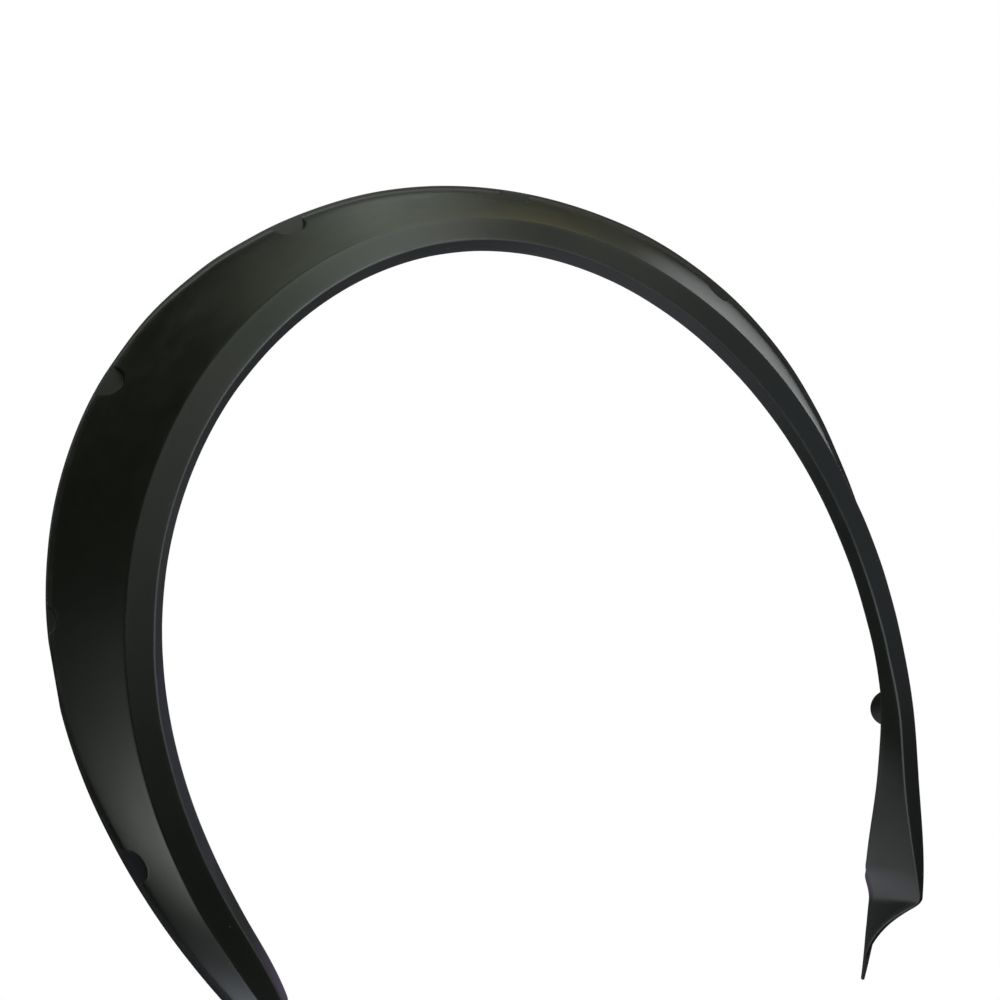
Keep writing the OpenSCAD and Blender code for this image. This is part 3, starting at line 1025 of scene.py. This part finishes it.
# Soft lamps: name, place, target, width, height, brightness of the lamp's face with paper
# white as 1, tint
LAMPS = (
    ("key_overhead", (0.1, -1.15, 1.6), (0.0, -0.5, -0.2), 1.5, 1.5, 1.86, (0.87, 1.0, 0.9)),
    ("wide_front", (0.0, -2.0, 1.3), (0.0, 0.0, -0.2), 3.0, 0.8, 1.73, (0.91, 1.0, 0.82)),
    ("front_right", (1.1, -2.0, 0.5), (0.1, 0.0, -0.2), 1.1, 1.7, 0.26, (1.0, 0.93, 0.83)),
    ("front_left", (-1.6, -1.6, 0.6), (0.0, 0.0, -0.2), 0.9, 1.6, 0.72, (0.91, 1.0, 0.93)),
    ("right", (1.6, -0.6, 0.0), (0.0, 0.0, -0.2), 1.8, 1.2, 0.25, (0.77, 0.85, 1.0)),
    ("right_high", (1.6, -0.4, 1.1), (0.0, 0.0, -0.2), 1.2, 0.6, 0.54, (0.94, 1.0, 0.92)),
    ("right_low", (1.6, 0.75, -0.25), (0.0, 0.0, -0.3), 0.4, 0.4, 1.06, (0.64, 0.62, 1.0)),
    ("back_right_high", (1.5, 1.3, 0.45), (0.1, 0.0, -0.2), 0.6, 0.9, 1.1, (0.94, 0.97, 1.0)),
    ("back_top_right", (0.6, 1.4, 0.75), (0.1, 0.0, -0.1), 0.7, 0.6, 0.25, (1.0, 0.82, 0.36)),
    ("back_left_floor", (-1.0, 1.1, -0.6), (-0.3, 0.0, -0.1), 1.0, 0.5, 0.95, (0.93, 1.0, 0.95)),
    ("left_back", (-1.6, 1.0, -0.2), (-0.2, 0.0, -0.3), 1.0, 0.7, 0.32, (0.91, 1.0, 0.96)),
    ("ceiling_front", (0.7, -1.2, 1.6), (0.0, -0.5, -0.2), 0.6, 1.2, 0.8, (1.0, 0.78, 0.63)),
    ("ceiling_right", (1.0, 0.3, 1.6), (0.0, 0.0, -0.1), 0.6, 1.2, 0.8, (1.0, 0.91, 0.63)),
    ("ceiling_back", (0.25, 0.5, 1.6), (0.1, 0.0, -0.1), 0.5, 1.6, 0.83, (0.9, 1.0, 0.91)),
    ("back_top", (-0.1, 1.4, 1.35), (0.0, 0.0, -0.1), 0.9, 0.6, 0.32, (0.88, 1.0, 0.78)),
    ("low_middle", (-0.1, 0.1, -0.6), (0.0, 0.0, 0.5), 0.6, 0.5, 0.76, (0.84, 0.89, 1.0)),
    ("low_middle_right", (0.4, 0.25, -0.6), (0.1, 0.0, 0.5), 0.4, 0.4, 0.29, (0.9, 0.97, 1.0)),
    ("low_front", (0.1, -0.7, -0.6), (0.0, 0.0, 0.5), 0.8, 0.5, 0.82, (0.78, 0.74, 1.0)),
    ("low_back", (0.1, 0.8, -0.6), (0.0, 0.0, 0.5), 0.8, 0.5, 0.24, (0.72, 0.5, 1.0)),
    ("low_back_right", (1.2, 1.1, -0.6), (0.1, 0.0, 0.3), 0.5, 0.4, 0.62, (0.89, 0.91, 1.0)),
)
# Watts that give one square metre of lamp the brightness of paper white
WATTS_PER_AREA = 4.0

# How far the tent's base lies over the floor
TENT_GAP = 1 * MM

# The camera: where it stands, and its right, up and forward directions
CAMERA_AT = (-0.25182, -0.94507, -0.34294)
CAMERA_RIGHT = (0.94656, -0.24459, -0.21027)
CAMERA_UP = (0.16659, -0.18751, 0.96804)
CAMERA_FORWARD = (0.2762, 0.95132, 0.13674)
SENSOR = 36.0
NEAREST, FURTHEST = 0.05, 50.0


class FLARE_OT_stage(bpy.types.Operator):
    """Build the floor, the tent, the lamps, the white surround and the camera"""

    bl_idname = "flare.stage"
    bl_label = "Build Stage"

    def execute(self, context):
        stage = context.scene.flare_stage
        self.add_floor(context, stage)
        self.add_tent(context, stage)
        self.add_lamps(context)
        self.add_world(context, stage)
        self.add_camera(context, stage)
        context.scene.view_settings.view_transform = "Standard"
        return {"FINISHED"}

    @staticmethod
    def add_floor(context, stage):
        half = stage.floor_size / 2
        corners = [(-half, -half, 0), (half, -half, 0), (half, half, 0), (-half, half, 0)]
        mesh = plain_mesh("floor", corners, [(0, 1, 2, 3)], floor_material(stage))
        floor = add_object(context, "floor", mesh)
        floor.location.z = CAD_BOX[0].z - stage.floor_drop

    @staticmethod
    def add_tent(context, stage):
        """A dark tent behind the lamps, which only the strip's gloss sees."""
        half, base = stage.tent_size / 2, CAD_BOX[0].z - stage.floor_drop + TENT_GAP
        corners = [
            (x, y, z) for z in (base, base + 2 * half) for x, y in
            ((-half, -half), (half, -half), (half, half), (-half, half))
        ]
        sides = [(0, 1, 2, 3), (4, 5, 6, 7)]
        sides += [(k, (k + 1) % 4, (k + 1) % 4 + 4, k + 4) for k in range(4)]
        mesh = plain_mesh("tent", corners, sides, tent_material(stage))
        tent = add_object(context, "tent", mesh)
        for rays in ("camera", "diffuse", "shadow", "transmission"):
            setattr(tent, f"visible_{rays}", False)

    @staticmethod
    def add_lamps(context):
        for name, at, target, width, height, level, tint in LAMPS:
            light = bpy.data.lights.new(name, "AREA")
            light.shape = "RECTANGLE"
            light.size, light.size_y = width, height
            light.energy, light.color = level * width * height * WATTS_PER_AREA, tint
            lamp = add_object(context, name, light)
            aim(lamp, at, target)
            lamp.visible_camera = False

    @staticmethod
    def add_world(context, stage):
        world = bpy.data.worlds.new("white_surround")
        graph = emptied(world)
        light, white = (
            graph.node("Background", label, Strength=strength, Color=WHITE).outputs[0]
            for label, strength in (("Even light", stage.daylight), ("White", 1.0))
        )
        shader = graph.node("MixShader", "Seen or lighting", seen_directly(graph), light, white)
        graph.finish(shader, "OutputWorld")
        context.scene.world = world

    @staticmethod
    def add_camera(context, stage):
        data = bpy.data.cameras.new("camera")
        data.sensor_width = SENSOR
        data.lens = stage.lens / MM
        data.clip_start, data.clip_end = NEAREST, FURTHEST
        camera = add_object(context, "camera", data)
        turn = Matrix((CAMERA_RIGHT, CAMERA_UP, -Vector(CAMERA_FORWARD))).transposed()
        camera.matrix_world = Matrix.Translation(CAMERA_AT) @ turn.to_4x4()
        context.scene.camera = camera


class FLARE_PT_panel(bpy.types.Panel):
    """Sizes, finish and stage of the flare, with the operators that build them"""

    bl_idname = "FLARE_PT_panel"
    bl_label = "Wheel Arch Flare"
    bl_space_type = "VIEW_3D"
    bl_region_type = "UI"
    bl_category = "Flare"

    def draw(self, context):
        layout = self.layout
        for title, settings, operator in (
            ("Strip", context.scene.flare_shape, None),
            ("Finish", context.scene.flare_finish, FLARE_OT_strip.bl_idname),
            ("Stage", context.scene.flare_stage, FLARE_OT_stage.bl_idname),
        ):
            box = layout.box()
            box.label(text=title)
            for name in settings.__annotations__:
                box.prop(settings, name)
            if operator:
                box.operator(operator)


CLASSES = (FlareShape, FlareFinish, FlareStage, FLARE_OT_strip, FLARE_OT_stage, FLARE_PT_panel)


def register():
    for cls in CLASSES:
        bpy.utils.register_class(cls)
    bpy.types.Scene.flare_shape = PointerProperty(type=FlareShape)
    bpy.types.Scene.flare_finish = PointerProperty(type=FlareFinish)
    bpy.types.Scene.flare_stage = PointerProperty(type=FlareStage)


def unregister():
    del bpy.types.Scene.flare_stage
    del bpy.types.Scene.flare_finish
    del bpy.types.Scene.flare_shape
    for cls in reversed(CLASSES):
        bpy.utils.unregister_class(cls)


def main():
    """Register the add-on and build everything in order."""
    register()
    bpy.ops.flare.strip()
    bpy.ops.flare.stage()


if __name__ == "__main__":
    main()
